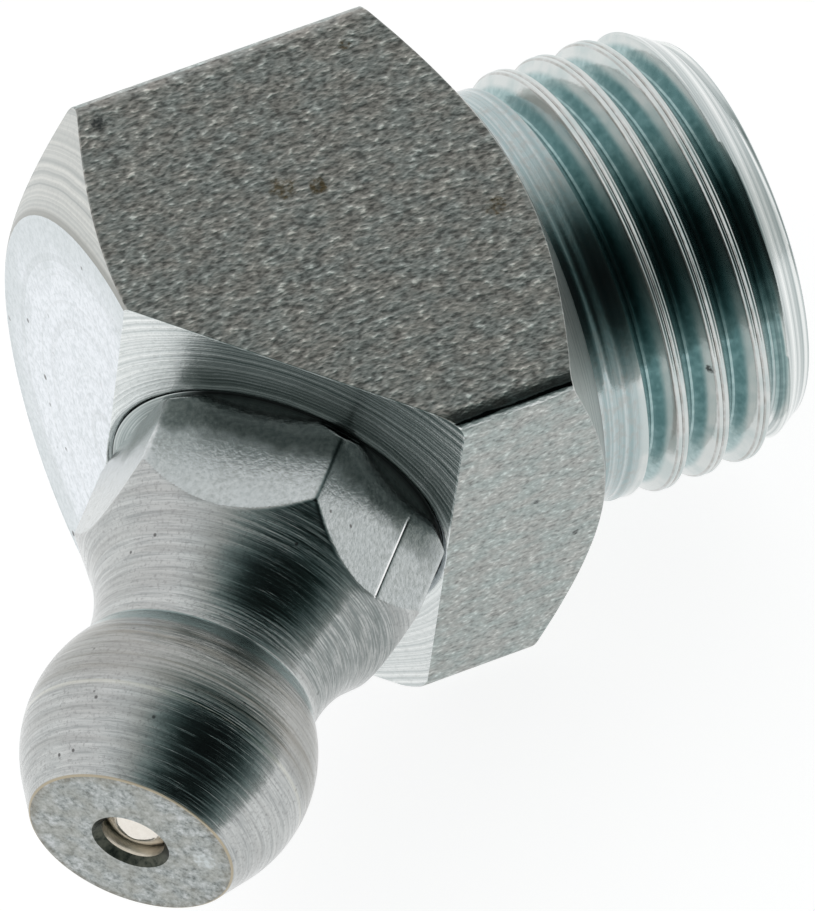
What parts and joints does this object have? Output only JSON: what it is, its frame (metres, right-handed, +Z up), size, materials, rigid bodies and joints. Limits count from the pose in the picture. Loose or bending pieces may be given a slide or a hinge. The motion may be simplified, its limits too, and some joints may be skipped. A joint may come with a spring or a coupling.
{
  "type": "grease nipple",
  "caption": "Angled grease nipple: square elbow body, M10x1 shank, hexagon collar and ball-shaped coupling head at 45 degrees, with a spring-loaded check ball.",
  "frame": {"origin": "centre of the shoulder that seats on the machine, on the thread axis", "axes": "+X along the thread away from the body; +Z up, square to the flat that it lies on; the head leaves towards -X and -Y"},
  "size_m": [0.0205, 0.0165, 0.011],
  "materials": {
    "plated_body": "clear passivated zinc plate on drawn and turned steel",
    "plated_head": "clear passivated zinc plate on turned steel",
    "ball_steel": "polished bearing steel",
    "spring_steel": "drawn spring wire"
  },
  "bodies": {
    "fitting": {"elbow_body": "plated_body", "nipple_head": "plated_head", "check_spring": "spring_steel"},
    "valve": {"check_ball": "ball_steel"}
  },
  "joints": [
    {"name": "ball_lift", "type": "slide", "parent": "fitting", "child": "valve", "axis": [0.7071, 0.7071, 0], "range_m": [0, 0.0008], "stiffness_N_per_m": 150, "springref_m": -0.001, "deforming": ["check_spring"]}
  ]
}
